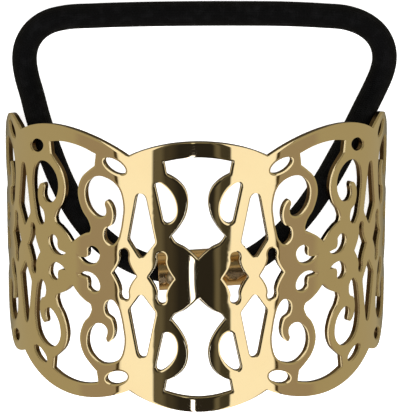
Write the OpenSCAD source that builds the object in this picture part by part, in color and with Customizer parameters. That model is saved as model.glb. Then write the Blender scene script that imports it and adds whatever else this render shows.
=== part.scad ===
/* [Cuff] */
// Outside radius of the curved plate
cuff_radius = 31.2; // [30:0.1:36]
// Height of the plate between the tips of its scallops
cuff_height = 45; // [40:0.5:52]
// Thickness of the plate
plate_thickness = 1.1; // [0.8:0.05:1.6]
// Distance along the curve from the front line to the middle of the first flower
motif_pitch = 21.6; // [20:0.1:22.4]
// Rise of the front scallop above its two corners
front_scallop_rise = 2.9; // [2:0.1:3.4]
// Rise of each side scallop above its two corners
side_scallop_rise = 3.2; // [2:0.1:3.6]

/* [Holes] */
// Length of the slanted oval holes beside the corners of the scallops
oval_length = 4.1; // [3:0.1:4.3]
// Width of the slanted oval holes
oval_width = 2.2; // [1.6:0.1:2.5]
// Slant of the oval holes away from level, in degrees
oval_slant = 22; // [0:1:35]

/* [Bracket] */
// Length of the straight tube behind the front
bracket_length = 14; // [10:0.5:16]
// Wall of the tube
bracket_wall = 1.1; // [0.8:0.05:1.5]
// How far the tube sits to the right of the middle
bracket_offset = 0.8; // [0:0.1:1.5]
// Slant of the tube away from level, its right end further up the plate, in degrees
bracket_slant = 3.3; // [0:0.1:4.5]
// Gap between the ends of the tube and the inside of the plate
bracket_gap = 0.05; // [0.05:0.05:0.3]
// Depth of the flared mouth at each end of the tube
mouth_depth = 2.6; // [1:0.1:3]
// Wall left at the rim of each mouth
mouth_wall = 0.35; // [0.3:0.05:0.6]
// Length of the solder that joins the tube to the plate
solder_length = 8.2; // [6:0.1:9]
// Width of the solder
solder_width = 2.1; // [1.6:0.1:2.8]
// How far the solder sits to the left of the tube's own middle
solder_shift = 1.5; // [0:0.1:1.6]

/* [Elastic] */
// Diameter of the elastic cord
elastic_diameter = 4; // [3.4:0.1:4.4]
// How much narrower the tube's bore is than the elastic that it grips
elastic_squeeze = 0.1; // [0.05:0.05:0.2]
// Gap between the two ends of the elastic in the middle of the tube
elastic_end_gap = 0.6; // [0.4:0.1:1.5]

/* [Hidden] */
$fn = 96;

GOLD = [0.86, 0.76, 0.55];
BLACK = [0.07, 0.07, 0.08];

// Columns of every outline table: distance along the curve as a share of motif_pitch,
// height as a share of half the plate's height, and 1 for a sharp corner.
ALONG = 0;
UP = 1;
SHARP = 2;

half_height = cuff_height / 2;
// The plate ends on a flat face here, as a share of motif_pitch
end_share = 2.167;
// Lowest corners of the scallops
front_corner = [0.52, 0.87];
end_corner = [1.62, 0.84];
// The end pattern repeats the first one, moved along by these shares
end_pattern_shift = 1.194;
end_petal_shift = 1.185;
// Height of the stock that is cut away above the scallops, how far its cutters widen, and how
// far each scallop's arc runs past its corner
waste = 3;
flare = 0.7;
crossing = 0.2;
// How far each cutter and each end of stock runs past the metal
overrun = 1;
// How far the solder is sunk into the plate and into the wall of the tube
solder_sink = 0.25;

// Half of the opening between the front rings, from its top to its foot
front_gap = [
    [0.000, 0.893, 0],
    [0.130, 0.882, 0],
    [0.250, 0.856, 1],
    [0.232, 0.764, 1],
    [0.170, 0.733, 0],
    [0.096, 0.660, 0],
    [0.072, 0.550, 0],
    [0.087, 0.476, 0],
    [0.133, 0.391, 0],
    [0.199, 0.309, 1],
    [0.170, 0.266, 0],
    [0.097, 0.227, 0],
    [0.050, 0.190, 0],
    [0.000, 0.142, 1]
];

// Half of the opening above a flower, measured from the flower's middle
flower_gap = [
    [0.000, 0.896, 0],
    [0.120, 0.885, 0],
    [0.227, 0.856, 1],
    [0.215, 0.768, 1],
    [0.160, 0.723, 0],
    [0.104, 0.667, 0],
    [0.074, 0.605, 0],
    [0.065, 0.545, 0],
    [0.078, 0.478, 0],
    [0.108, 0.415, 0],
    [0.157, 0.356, 0],
    [0.178, 0.307, 1],
    [0.168, 0.272, 0],
    [0.120, 0.250, 0],
    [0.065, 0.216, 0],
    [0.000, 0.157, 1]
];

// Round window inside each front ring
ring_window = [
    [0.258, 0.418, 1],
    [0.316, 0.672, 1],
    [0.306, 0.696, 0],
    [0.284, 0.702, 0],
    [0.250, 0.686, 0],
    [0.206, 0.646, 0],
    [0.172, 0.590, 0],
    [0.157, 0.530, 0],
    [0.162, 0.465, 0],
    [0.184, 0.424, 0],
    [0.212, 0.404, 0],
    [0.240, 0.402, 0],
];

// Long kite between two scroll patterns
kite = [
    [0.419, 0.616, 0],
    [0.443, 0.606, 0],
    [0.454, 0.582, 0],
    [0.519, 0.260, 1],
    [0.433, 0.141, 0],
    [0.419, 0.132, 0],
    [0.405, 0.141, 0],
    [0.312, 0.260, 1],
    [0.380, 0.582, 0],
    [0.394, 0.606, 0],
];

// Scroll opening with its hooked curl, which ends in a narrow slit
scroll = [
    [0.745, 0.700, 0],
    [0.678, 0.693, 0],
    [0.624, 0.668, 0],
    [0.582, 0.622, 0],
    [0.560, 0.556, 0],
    [0.553, 0.487, 0],
    [0.562, 0.409, 0],
    [0.578, 0.324, 0],
    [0.608, 0.240, 0],
    [0.650, 0.203, 0],
    [0.696, 0.226, 0],
    [0.711, 0.280, 0],
    [0.696, 0.324, 0],
    [0.650, 0.352, 0],
    [0.631, 0.400, 0],
    [0.630, 0.453, 0],
    [0.644, 0.492, 0],
    [0.664, 0.516, 0],
    [0.690, 0.527, 0],
    [0.702, 0.506, 0],
    [0.692, 0.466, 0],
    [0.694, 0.428, 0],
    [0.735, 0.397, 0],
    [0.775, 0.400, 0],
    [0.815, 0.424, 0],
    [0.851, 0.470, 0],
    [0.869, 0.527, 0],
    [0.868, 0.585, 0],
    [0.846, 0.637, 0],
    [0.802, 0.678, 0],
];

// Petal of the flower, with its tail towards the flower's middle
petal = [
    [0.940, 0.068, 1],
    [0.893, 0.036, 0],
    [0.825, 0.030, 0],
    [0.778, 0.054, 0],
    [0.752, 0.095, 0],
    [0.751, 0.138, 0],
    [0.777, 0.166, 0],
    [0.823, 0.171, 0],
    [0.852, 0.149, 0],
    [0.852, 0.110, 0],
    [0.866, 0.079, 0],
    [0.902, 0.073, 0],
];

// Quarter of the slot at mid-height, measured from its own middle
slot_quarter = [
    [0.000, 0.196, 0],
    [0.023, 0.188, 0],
    [0.036, 0.160, 0],
    [0.033, 0.122, 0],
    [0.044, 0.082, 0],
    [0.065, 0.044, 0],
    [0.095, 0.002, 1]
];

// Upper half of the plate's end, from the corner of the last scallop down to mid-height
end_edge = [
    [1.606, 0.833, 1],
    [1.620, 0.840, 0],
    [1.722, 0.878, 0],
    [1.833, 0.896, 0],
    [1.912, 0.880, 0],
    [1.986, 0.833, 0],
    [2.065, 0.764, 0],
    [2.122, 0.680, 0],
    [2.158, 0.604, 0],
    [2.190, 0.542, 0],
    [2.158, 0.478, 0],
    [2.128, 0.409, 0],
    [2.074, 0.351, 0],
    [2.046, 0.307, 1],
    [2.074, 0.271, 0],
    [2.122, 0.240, 0],
    [2.156, 0.207, 0],
    [2.190, 0.165, 1]
];

oval_middle = [0.621, 0.789];
front_slot_at = 0.269;
corner_slot_at = 0.551;

bore_radius = (elastic_diameter - elastic_squeeze) / 2;
tube_radius = bore_radius + bracket_wall;
inner_radius = cuff_radius - plate_thickness;
// Distance of the tube's middle line from the plate's axis: a straight tube fits behind the
// curved plate where its two ends just clear the plate
tube_reach = sqrt(inner_radius * inner_radius - bracket_length * bracket_length / 4)
    - tube_radius - bracket_gap;
// Height of the plate's axis below the faces that it rests on
axis_drop = -cuff_radius * cos(turn(end_share * motif_pitch));

// Route of the elastic from the tube's right mouth round to its left one:
// across, along the plate's axis, and height of its underside above the ground.
// It follows the inside of the plate, comes out at the back and lies on the ground.
ACROSS = 0;
BACK = 1;
LIFT = 2;
elastic_route = [
    [7.6, 0.8, 21.6],
    [10.0, 2.1, 21.3],
    [13.4, 4.5, 19.7],
    [16.7, 7.4, 17.4],
    [20.0, 11.1, 14.2],
    [22.9, 14.8, 10.3],
    [25.4, 18.0, 6.2],
    [27.4, 20.8, 2.8],
    [28.9, 23.2, 0.9],
    [29.8, 25.1, 0.2],
    [30.3, 27.2, 0],
    [30.1, 29.5, 0],
    [29.0, 31.7, 0],
    [27.0, 33.4, 0],
    [24.2, 34.5, 0],
    [20.2, 34.9, 0],
    [14.5, 35.2, 0],
    [7.0, 35.3, 0],
    [-2.0, 35.3, 0],
    [-10.0, 35.2, 0],
    [-16.5, 35.0, 0],
    [-21.2, 34.7, 0],
    [-23.8, 34.0, 0],
    [-26.0, 32.4, 0],
    [-27.3, 30.2, 0],
    [-27.7, 27.8, 0],
    [-27.4, 25.4, 0.5],
    [-26.5, 22.7, 2.4],
    [-25.3, 19.4, 6.0],
    [-23.6, 15.5, 9.5],
    [-21.5, 11.2, 12.7],
    [-18.7, 6.9, 15.8],
    [-15.0, 3.5, 18.8],
    [-12.0, 1.9, 20.7],
    [-9.2, 0.8, 21.8],
    [-6.2, 0.0, 22.1]
];
elastic_sides = 10;
oval_sides = 18;

// Degrees that a distance along the outside of the plate turns
function turn(along) = along / cuff_radius * 180 / PI;

function last_of(list) = len(list) - 1;

// Slope of a closed outline at one of its points
function slope(rows, i, from, to) =
    rows[i][SHARP] == 1 ? rows[to] - rows[from]
    : (rows[(i + 1) % len(rows)] - rows[(i + last_of(rows)) % len(rows)]) / 2;

// Point between two rows of an outline, on a smooth curve through its neighbours
function between(rows, i, j, t) =
    let (a = slope(rows, i, i, j), b = slope(rows, j, i, j))
    (2 * t * t * t - 3 * t * t + 1) * rows[i] + (t * t * t - 2 * t * t + t) * a
    + (3 * t * t - 2 * t * t * t) * rows[j] + (t * t * t - t * t) * b;

// Outline with one more point in each smooth stretch
function smoothed(rows) = [
    for (i = [0 : last_of(rows)])
        let (j = (i + 1) % len(rows), straight = rows[i][SHARP] + rows[j][SHARP] == 2)
            for (t = straight ? [0] : [0, 0.5]) between(rows, i, j, t)
];

// Second half of an outline, as the mirror image of the first half
function with_mirror_across(rows) = concat(
    rows,
    [for (i = [last_of(rows) : -1 : 0]) if (rows[i][ALONG] != 0) mirrored(rows[i], -1, 1)]
);

function with_mirror_below(rows) = concat(
    rows,
    [for (i = [last_of(rows) : -1 : 0]) if (rows[i][UP] != 0) mirrored(rows[i], 1, -1)]
);

function mirrored(row, across, up) = [row[ALONG] * across, row[UP] * up, row[SHARP]];

// Table rows as real distances along the curve and real heights
function sized(rows) = [for (row = rows) [row[ALONG] * motif_pitch, row[UP] * half_height]];

// Arc through one corner of a scallop and the next, rising above the line between them.
// It runs a little past both corners, so that two arcs cross there.
function scallop_arc(first, last, rise) =
    let (
        reach = (last[0] - first[0]) / 2,
        bend = (reach * reach + rise * rise) / (2 * rise),
        steps = 25
    )
    [
        for (i = [0 : steps])
            let (x = (2 * i / steps - 1) * (reach + crossing), level = (first[1] + last[1]) / 2)
                [
                    (first[0] + last[0]) / 2 + x,
                    level + (last[1] - first[1]) / 2 * x / reach
                        + rise - bend + sqrt(bend * bend - x * x)
                ]
    ];

// Middle of a set of points along the curve
function middle(points) =
    let (along = [for (p = points) p[0]])
    (min(along) + max(along)) / 2;

function half_width(points) =
    let (along = [for (p = points) p[0]])
    (max(along) - min(along)) / 2;

// Places a flat shape square to the plate at a distance along its curve,
// with its own height pointing away from the plate's axis
module on_plate(along) {
    translate([0, 0, axis_drop])
        rotate([0, turn(along), 0])
            children();
}

// Cuts an outline through the plate; its points are real distances along the curve and heights
module cut(points) {
    place = middle(points);
    spread = turn(half_width(points));
    foot = inner_radius * cos(spread) - overrun;
    flat = [for (p = points) [cuff_radius * sin(turn(p[0] - place)), p[1]]];
    on_plate(place)
        translate([0, 0, foot])
            linear_extrude(cuff_radius + overrun - foot)
                polygon(flat);
}

function moved(points, share) = [for (p = points) [p[0] + share * motif_pitch, p[1]]];

// The same outline on the other side of the first flower
function beyond_flower(points) = [for (p = points) [2 * motif_pitch - p[0], p[1]]];

function oval_points() = [
    for (a = [0 : 360 / oval_sides : 359])
        let (x = oval_length / 2 * cos(a), y = oval_width / 2 * sin(a))
            [
                oval_middle[0] * motif_pitch + x * cos(oval_slant) - y * sin(oval_slant),
                oval_middle[1] * half_height + x * sin(oval_slant) + y * cos(oval_slant)
            ]
];

// Every hole of one quarter of the plate; those on its edges are cut whole
module holes() {
    gap = with_mirror_across(flower_gap);
    slot = with_mirror_across(with_mirror_below(slot_quarter));
    scrolls = [sized(smoothed(scroll)), sized(petal), oval_points()];
    end_shifts = [end_pattern_shift, end_petal_shift, end_pattern_shift];
    cut(sized(smoothed(with_mirror_across(front_gap))));
    cut(sized(smoothed(ring_window)));
    cut(moved(sized(smoothed(gap)), 1));
    cut(sized(kite));
    cut(beyond_flower(sized(kite)));
    for (i = [0 : 2]) {
        cut(scrolls[i]);
        cut(beyond_flower(scrolls[i]));
        cut(moved(scrolls[i], end_shifts[i]));
    }
    for (share = [front_slot_at, corner_slot_at, 2 - corner_slot_at, corner_slot_at + end_pattern_shift])
        cut(moved(sized(slot), share));
}

// Stock above one scallop, between its arc and a line above the plate
module above_scallop(first, last, rise) {
    top = half_height + waste;
    cut(concat(
        [[first[0] - flare, top], [first[0] - flare, first[1] + overrun]],
        scallop_arc(first, last, rise),
        [[last[0] + flare, last[1] + overrun], [last[0] + flare, top]]
    ));
}

// Stock beyond the rounded and notched end of the plate. The cutter closes round the edge:
// past its foot, above the plate and back down to just beside its first point.
module beyond_end() {
    first = end_edge[0];
    foot = end_edge[last_of(end_edge)];
    near = first[ALONG] - 0.016;
    far = end_share + 0.2;
    above = 1.1;
    rows = [[far, foot[UP], 1], [far, above, 1], [near, above, 1], [near, first[UP] + 0.047, 1]];
    cut(sized(smoothed(concat(end_edge, rows))));
}

module quarter_shell() {
    translate([0, 0, axis_drop])
        rotate([90, 0, 180])
            rotate([0, 0, 90])
                rotate_extrude(angle = 100)
                    translate([inner_radius, 0])
                        square([plate_thickness, half_height + overrun]);
}

module below_ground() {
    size = 2 * (cuff_radius + overrun);
    translate([-size / 2, -size / 2, -size])
        cube(size);
}

module plate_quarter() {
    front = [front_corner[0] * motif_pitch, front_corner[1] * half_height];
    end = [end_corner[0] * motif_pitch, end_corner[1] * half_height];
    difference() {
        quarter_shell();
        below_ground();
        above_scallop([-front[0], front[1]], front, front_scallop_rise);
        above_scallop(front, end, side_scallop_rise);
        beyond_end();
        holes();
    }
}

module plate() {
    for (across = [0, 1])
        for (below = [0, 1])
            mirror([across, 0, 0])
                mirror([0, below, 0])
                    plate_quarter();
}

// Places its children in the tube's own frame: the plate's axis is the origin and the tube
// runs along X
module on_tube() {
    translate([0, 0, axis_drop])
        rotate([0, turn(bracket_offset), 0])
            children();
}

// Straight tube that grips the elastic, with its bore flared towards both ends
module bracket() {
    half = bracket_length / 2;
    rim = tube_radius - mouth_wall;
    section = [
        [bore_radius, half - mouth_depth],
        [bore_radius, mouth_depth - half],
        [rim, -half],
        [tube_radius, -half],
        [tube_radius, half],
        [rim, half]
    ];
    on_tube()
        translate([0, 0, tube_reach])
            rotate([0, 90, bracket_slant])
                rotate_extrude()
                    polygon(section);
}

// Flat shape with straight sides and round ends
module stadium(length, width) {
    square([length - width, width], center = true);
    for (side = [-1, 1])
        translate([side * (length - width) / 2, 0])
            circle(d = width);
}

// Solder that fills the space between the tube and the inside of the plate
module solder() {
    edge = sqrt(tube_radius * tube_radius - solder_width * solder_width / 4);
    foot = tube_reach + edge - solder_sink;
    on_tube()
        intersection() {
            rotate([0, 0, bracket_slant])
                translate([-solder_shift, 0, foot])
                    linear_extrude(cuff_radius - foot)
                        stadium(solder_length, solder_width);
            rotate([90, 0, 0])
                cylinder(h = 2 * solder_width, r = inner_radius + solder_sink, center = true);
        }
}

module cuff() {
    color(GOLD)
        union() {
            plate();
            bracket();
            solder();
        }
}

// Point on the middle line of the tube at a distance along it from its own middle
function in_tube(along) =
    let (lean = turn(bracket_offset), across = along * cos(bracket_slant))
    [
        across * cos(lean) + tube_reach * sin(lean),
        along * sin(bracket_slant),
        axis_drop + tube_reach * cos(lean) - across * sin(lean)
    ];

// Middle line of the elastic: straight in the bore, out through one mouth, round the loop
// and in through the other
function elastic_line() =
    let (
        inner = elastic_end_gap / 2,
        outer = bracket_length / 2 - mouth_depth,
        lift = elastic_diameter / 2
    )
    concat(
        [in_tube(inner), in_tube(outer)],
        [for (p = elastic_route) [p[ACROSS], p[BACK], p[LIFT] + lift]],
        [in_tube(-outer), in_tube(-inner)]
    );

function unit(v) = v / norm(v);

// Direction of a line of points at one of them
function heading(line, i) = unit(line[min(i + 1, last_of(line))] - line[max(i - 1, 0)]);

// Ring of points square to the line, with one point straight below its middle
function ring(line, i) =
    let (
        ahead = heading(line, i),
        beside = unit(cross(ahead, [0, 0, 1])),
        above = cross(beside, ahead)
    )
    [
        for (k = [0 : elastic_sides - 1])
            let (a = 360 * k / elastic_sides - 90)
                line[i] + elastic_diameter / 2 * (cos(a) * beside + sin(a) * above)
    ];

// Solid tube of flat-sided rings along the line
module elastic() {
    line = elastic_line();
    rings = len(line);
    points = [for (i = [0 : rings - 1]) each ring(line, i)];
    sides = [
        for (i = [0 : rings - 2])
            for (k = [0 : elastic_sides - 1])
                let (
                    n = (k + 1) % elastic_sides,
                    here = i * elastic_sides,
                    next = here + elastic_sides
                )
                each [
                    [here + k, here + n, next + n],
                    [here + k, next + n, next + k]
                ]
    ];
    start = [[for (k = [elastic_sides - 1 : -1 : 0]) k]];
    finish = [[for (k = [0 : elastic_sides - 1]) (rings - 1) * elastic_sides + k]];
    color(BLACK)
        polyhedron(points, concat(start, sides, finish));
}

cuff();
elastic();
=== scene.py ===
"""A ponytail cuff of pierced pale gold lying on its ends, with its black elastic loop."""

import logging
import math
from dataclasses import dataclass, field
from enum import Enum

import bmesh
import bpy
import numpy as np
from bpy.types import ID, Material, Mesh, Node, NodeSocket, NodeTree, Object
from mathutils import Matrix, Vector
from mathutils.geometry import delaunay_2d_cdt
from mathutils.kdtree import KDTree


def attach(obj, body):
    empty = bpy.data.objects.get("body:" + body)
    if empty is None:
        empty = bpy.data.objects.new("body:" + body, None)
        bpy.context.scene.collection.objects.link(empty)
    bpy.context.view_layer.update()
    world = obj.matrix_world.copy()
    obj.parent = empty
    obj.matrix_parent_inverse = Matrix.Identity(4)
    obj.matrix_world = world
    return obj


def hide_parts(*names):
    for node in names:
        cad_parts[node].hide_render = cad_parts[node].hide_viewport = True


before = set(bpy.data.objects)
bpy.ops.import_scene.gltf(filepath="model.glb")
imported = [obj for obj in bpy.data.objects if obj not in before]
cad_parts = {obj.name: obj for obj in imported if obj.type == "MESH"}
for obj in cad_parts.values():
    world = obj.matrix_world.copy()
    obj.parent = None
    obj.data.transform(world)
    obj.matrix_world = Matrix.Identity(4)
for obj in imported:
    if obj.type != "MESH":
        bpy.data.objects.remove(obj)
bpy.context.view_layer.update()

LOG = logging.getLogger("ponytail_cuff")
MM = 0.001
# A length that counts as none, and the pieces that a curve is first cut into, in millimetres.
TINY = 1e-9
CUT = 0.12
# Points of a fill that are nearer than this are one, and how far a corner's inset reaches at most.
SAME_SPOT = 1e-7
CORNER_REACH = 1.8

Array = np.ndarray
Row = tuple[float, float, int]
Pair = tuple[float, float]
Triple = tuple[float, float, float]

# Outline tables: distance along the plate's curve as a share of the motif pitch, height as a
# share of half the plate's height, and 1 for a sharp corner.
FRONT_GAP: list[Row] = [
    (0.000, 0.893, 0), (0.130, 0.882, 0), (0.250, 0.856, 1), (0.232, 0.764, 1),
    (0.170, 0.733, 0), (0.096, 0.660, 0), (0.072, 0.550, 0), (0.087, 0.476, 0),
    (0.133, 0.391, 0), (0.199, 0.309, 1), (0.170, 0.266, 0), (0.097, 0.227, 0),
    (0.050, 0.190, 0), (0.000, 0.142, 1),
]
FLOWER_GAP: list[Row] = [
    (0.000, 0.896, 0), (0.120, 0.885, 0), (0.227, 0.856, 1), (0.215, 0.768, 1),
    (0.160, 0.723, 0), (0.104, 0.667, 0), (0.074, 0.605, 0), (0.065, 0.545, 0),
    (0.078, 0.478, 0), (0.108, 0.415, 0), (0.157, 0.356, 0), (0.178, 0.307, 1),
    (0.168, 0.272, 0), (0.120, 0.250, 0), (0.065, 0.216, 0), (0.000, 0.157, 1),
]
RING_WINDOW: list[Row] = [
    (0.258, 0.418, 1), (0.316, 0.672, 1), (0.306, 0.696, 0), (0.284, 0.702, 0),
    (0.250, 0.686, 0), (0.206, 0.646, 0), (0.172, 0.590, 0), (0.157, 0.530, 0),
    (0.162, 0.465, 0), (0.184, 0.424, 0), (0.212, 0.404, 0), (0.240, 0.402, 0),
]
KITE: list[Row] = [
    (0.419, 0.616, 0), (0.443, 0.606, 0), (0.454, 0.582, 0), (0.519, 0.260, 1),
    (0.433, 0.141, 0), (0.419, 0.132, 0), (0.405, 0.141, 0), (0.312, 0.260, 1),
    (0.380, 0.582, 0), (0.394, 0.606, 0),
]
SCROLL: list[Row] = [
    (0.745, 0.700, 0), (0.678, 0.693, 0), (0.624, 0.668, 0), (0.582, 0.622, 0),
    (0.560, 0.556, 0), (0.553, 0.487, 0), (0.562, 0.409, 0), (0.578, 0.324, 0),
    (0.608, 0.240, 0), (0.650, 0.203, 0), (0.696, 0.226, 0), (0.711, 0.280, 0),
    (0.696, 0.324, 0), (0.650, 0.352, 0), (0.631, 0.400, 0), (0.630, 0.453, 0),
    (0.644, 0.492, 0), (0.664, 0.516, 0), (0.690, 0.527, 0), (0.702, 0.506, 0),
    (0.692, 0.466, 0), (0.694, 0.428, 0), (0.735, 0.397, 0), (0.775, 0.400, 0),
    (0.815, 0.424, 0), (0.851, 0.470, 0), (0.869, 0.527, 0), (0.868, 0.585, 0),
    (0.846, 0.637, 0), (0.802, 0.678, 0),
]
PETAL: list[Row] = [
    (0.940, 0.068, 1), (0.893, 0.036, 0), (0.825, 0.030, 0), (0.778, 0.054, 0),
    (0.752, 0.095, 0), (0.751, 0.138, 0), (0.777, 0.166, 0), (0.823, 0.171, 0),
    (0.852, 0.149, 0), (0.852, 0.110, 0), (0.866, 0.079, 0), (0.902, 0.073, 0),
]
SLOT_QUARTER: list[Row] = [
    (0.000, 0.196, 0), (0.023, 0.188, 0), (0.036, 0.160, 0), (0.033, 0.122, 0),
    (0.044, 0.082, 0), (0.065, 0.044, 0), (0.095, 0.002, 1),
]
END_EDGE: list[Row] = [
    (1.620, 0.840, 1), (1.722, 0.878, 0), (1.833, 0.896, 0), (1.912, 0.880, 0),
    (1.986, 0.833, 0), (2.065, 0.764, 0), (2.122, 0.680, 0), (2.158, 0.604, 0),
    (2.190, 0.542, 0), (2.158, 0.478, 0), (2.128, 0.409, 0), (2.074, 0.351, 0),
    (2.046, 0.307, 1), (2.074, 0.271, 0), (2.122, 0.240, 0), (2.156, 0.207, 0),
    (2.190, 0.165, 1),
]

# Route of the elastic from the tube's right mouth round to its left one, in millimetres: across,
# along the plate's axis, and height of its underside above the ground. These are the points of
# the solid.
ELASTIC_ROUTE: list[Triple] = [
    (7.6, 0.8, 21.6), (10.0, 2.1, 21.3), (13.4, 4.5, 19.7), (16.7, 7.4, 17.4),
    (20.0, 11.1, 14.2), (22.9, 14.8, 10.3), (25.4, 18.0, 6.2), (27.4, 20.8, 2.8),
    (28.9, 23.2, 0.9), (29.8, 25.1, 0.2), (30.3, 27.2, 0), (30.1, 29.5, 0),
    (29.0, 31.7, 0), (27.0, 33.4, 0), (24.2, 34.5, 0), (20.2, 34.9, 0),
    (14.5, 35.2, 0), (7.0, 35.3, 0), (-2.0, 35.3, 0), (-10.0, 35.2, 0),
    (-16.5, 35.0, 0), (-21.2, 34.7, 0), (-23.8, 34.0, 0), (-26.0, 32.4, 0),
    (-27.3, 30.2, 0), (-27.7, 27.8, 0), (-27.4, 25.4, 0.5), (-26.5, 22.7, 2.4),
    (-25.3, 19.4, 6.0), (-23.6, 15.5, 9.5), (-21.5, 11.2, 12.7), (-18.7, 6.9, 15.8),
    (-15.0, 3.5, 18.8), (-12.0, 1.9, 20.7), (-9.2, 0.8, 21.8), (-6.2, 0.0, 22.1),
]


class Mirror(Enum):
    """Line that half an outline is mirrored over; the value is the column that is 0 on it."""

    ACROSS = 0
    UP = 1


class Coat(Enum):
    """Surfaces of the plate that differ in material, the wall's and the back's darkened with
    painted shade; the value is the material's number.
    """

    FRONT = 0
    WORN_RIM = 1
    WALL = 2
    BACK = 3


@dataclass(frozen=True)
class CuffSizes:
    """Main sizes of the cuff in millimetres, as in the part's source."""

    radius: float = 31.2
    height: float = 45.0
    thickness: float = 1.1
    pitch: float = 21.6
    front_rise: float = 2.9
    side_rise: float = 3.2
    end_share: float = 2.167
    front_corner: Pair = (0.52, 0.87)
    end_corner: Pair = (1.62, 0.84)
    oval_length: float = 4.1
    oval_width: float = 2.2
    oval_slant: float = 22.0
    oval_middle: Pair = (0.621, 0.789)
    pattern_shift: float = 1.194
    petal_shift: float = 1.185
    front_slot: float = 0.269
    corner_slot: float = 0.551

    @property
    def half_height(self) -> float:
        """Half of the plate's height."""
        return self.height / 2

    @property
    def axis_height(self) -> float:
        """Height of the plate's axis above the ground, which is below zero."""
        return -self.radius * math.cos(self.end_share * self.pitch / self.radius)


class Shader:
    """Adds nodes to one node tree."""

    def __init__(self, tree: NodeTree) -> None:
        """Keeps the tree and empties it."""
        self.tree = tree
        tree.nodes.clear()

    def node(self, kind: str, settings: dict | None = None, **values: object) -> Node:
        """Adds one node.

        Args:
            kind: The node's type name.
            settings: Its properties, set first.
            **values: Input sockets by name, with spaces as underscores, or by in0, in1 and so on.
                A colour has three parts.

        Returns:
            The new node.
        """
        made = self.tree.nodes.new(kind)
        for name, value in (settings or {}).items():
            setattr(made, name, value)
        for name, value in values.items():
            numbered = name.startswith("in") and name[2:].isdigit()
            socket = made.inputs[int(name[2:]) if numbered else name.replace("_", " ")]
            if isinstance(value, Signal):
                value = value.socket
            if isinstance(value, NodeSocket):
                self.tree.links.new(value, socket)
            else:
                socket.default_value = (*value, 1.0) if socket.type == "RGBA" else value
        return made

    def signal(self, socket: NodeSocket) -> "Signal":
        """Wraps an output socket for arithmetic."""
        return Signal(self, socket)

    def axes(self, vector: NodeSocket) -> list["Signal"]:
        """The three parts of a vector."""
        made = self.node("ShaderNodeSeparateXYZ", Vector=vector)
        return [self.signal(socket) for socket in made.outputs]

    def noise(
        self, place: NodeSocket, scale: float, detail: float, stretch: float = 1.0
    ) -> "Signal":
        """Adds a noise texture.

        Args:
            place: Where the surface is.
            scale: How fine the noise is.
            detail: How many finer layers it has.
            stretch: Scale along the plate's axis; under 1 draws the noise out.

        Returns:
            The noise.
        """
        if stretch != 1.0:
            drawn = self.node("ShaderNodeMapping", Vector=place, Scale=(1.0, stretch, 1.0))
            place = drawn.outputs[0]
        made = self.node("ShaderNodeTexNoise", Vector=place, Scale=scale, Detail=detail)
        return self.signal(made.outputs[0])

    def blend(self, share: object, low: object, high: object) -> NodeSocket:
        """Colour that goes from low to high as share goes from 0 to 1."""
        made = self.node("ShaderNodeMix", {"data_type": "RGBA"}, in0=share, in6=low, in7=high)
        return made.outputs[2]


class Signal:
    """An output socket that can be used in arithmetic."""

    def __init__(self, shader: Shader, socket: NodeSocket) -> None:
        """Keeps the shader that adds nodes, and the socket."""
        self.shader, self.socket = shader, socket

    def _math(self, operation: str, *terms: object) -> "Signal":
        """Adds a Math node.

        Args:
            operation: What the node does.
            *terms: Signals or numbers for its inputs.

        Returns:
            Its result.
        """
        values = {f"in{i}": term for i, term in enumerate(terms)}
        made = self.shader.node("ShaderNodeMath", {"operation": operation}, **values)
        return Signal(self.shader, made.outputs[0])

    def __add__(self, other: object) -> "Signal":
        """self + other."""
        return self._math("ADD", self, other)

    __radd__ = __add__

    def __sub__(self, other: object) -> "Signal":
        """self - other."""
        return self._math("SUBTRACT", self, other)

    def __rsub__(self, other: object) -> "Signal":
        """other - self."""
        return self._math("SUBTRACT", other, self)

    def __mul__(self, other: object) -> "Signal":
        """self * other."""
        return self._math("MULTIPLY", self, other)

    __rmul__ = __mul__

    def __truediv__(self, other: object) -> "Signal":
        """self / other."""
        return self._math("DIVIDE", self, other)

    def __rtruediv__(self, other: object) -> "Signal":
        """other / self."""
        return self._math("DIVIDE", other, self)

    def sine(self) -> "Signal":
        """Sine of the value in radians."""
        return self._math("SINE", self)

    def cosine(self) -> "Signal":
        """Cosine of the value in radians."""
        return self._math("COSINE", self)

    def angle_to(self, other: object) -> "Signal":
        """Angle in radians whose tangent is self / other."""
        return self._math("ARCTAN2", self, other)

    def at_least(self, low: float) -> "Signal":
        """The value, or low where it is less."""
        return self._math("MAXIMUM", self, low)

    def clamped(self) -> "Signal":
        """The value kept from 0 to 1."""
        return self._math("MINIMUM", self.at_least(0.0), 1.0)

    def window(self, low: float, high: float, blur: float) -> "Signal":
        """One where the value is between low and high, falling to nothing over blur.

        Args:
            low: Lower edge.
            high: Upper edge.
            blur: Width of each edge.

        Returns:
            The window's strength.
        """
        above = (self * (1 / blur) + (0.5 - low / blur)).clamped()
        below = (self * (-1 / blur) + (0.5 + high / blur)).clamped()
        return above * below


@dataclass(frozen=True)
class Finish:
    """A material that a piece is dressed in."""

    name: str = "finish"

    def surface(self, shader: Shader) -> Node:
        """Adds the finish's own nodes and returns the last."""
        raise NotImplementedError

    def material(self) -> Material:
        """Builds the material.

        Returns:
            The material.
        """
        made = bpy.data.materials.new(self.name)
        made.use_nodes = True
        shader = Shader(made.node_tree)
        shader.node("ShaderNodeOutputMaterial", Surface=self.surface(shader).outputs[0])
        return made


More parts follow.
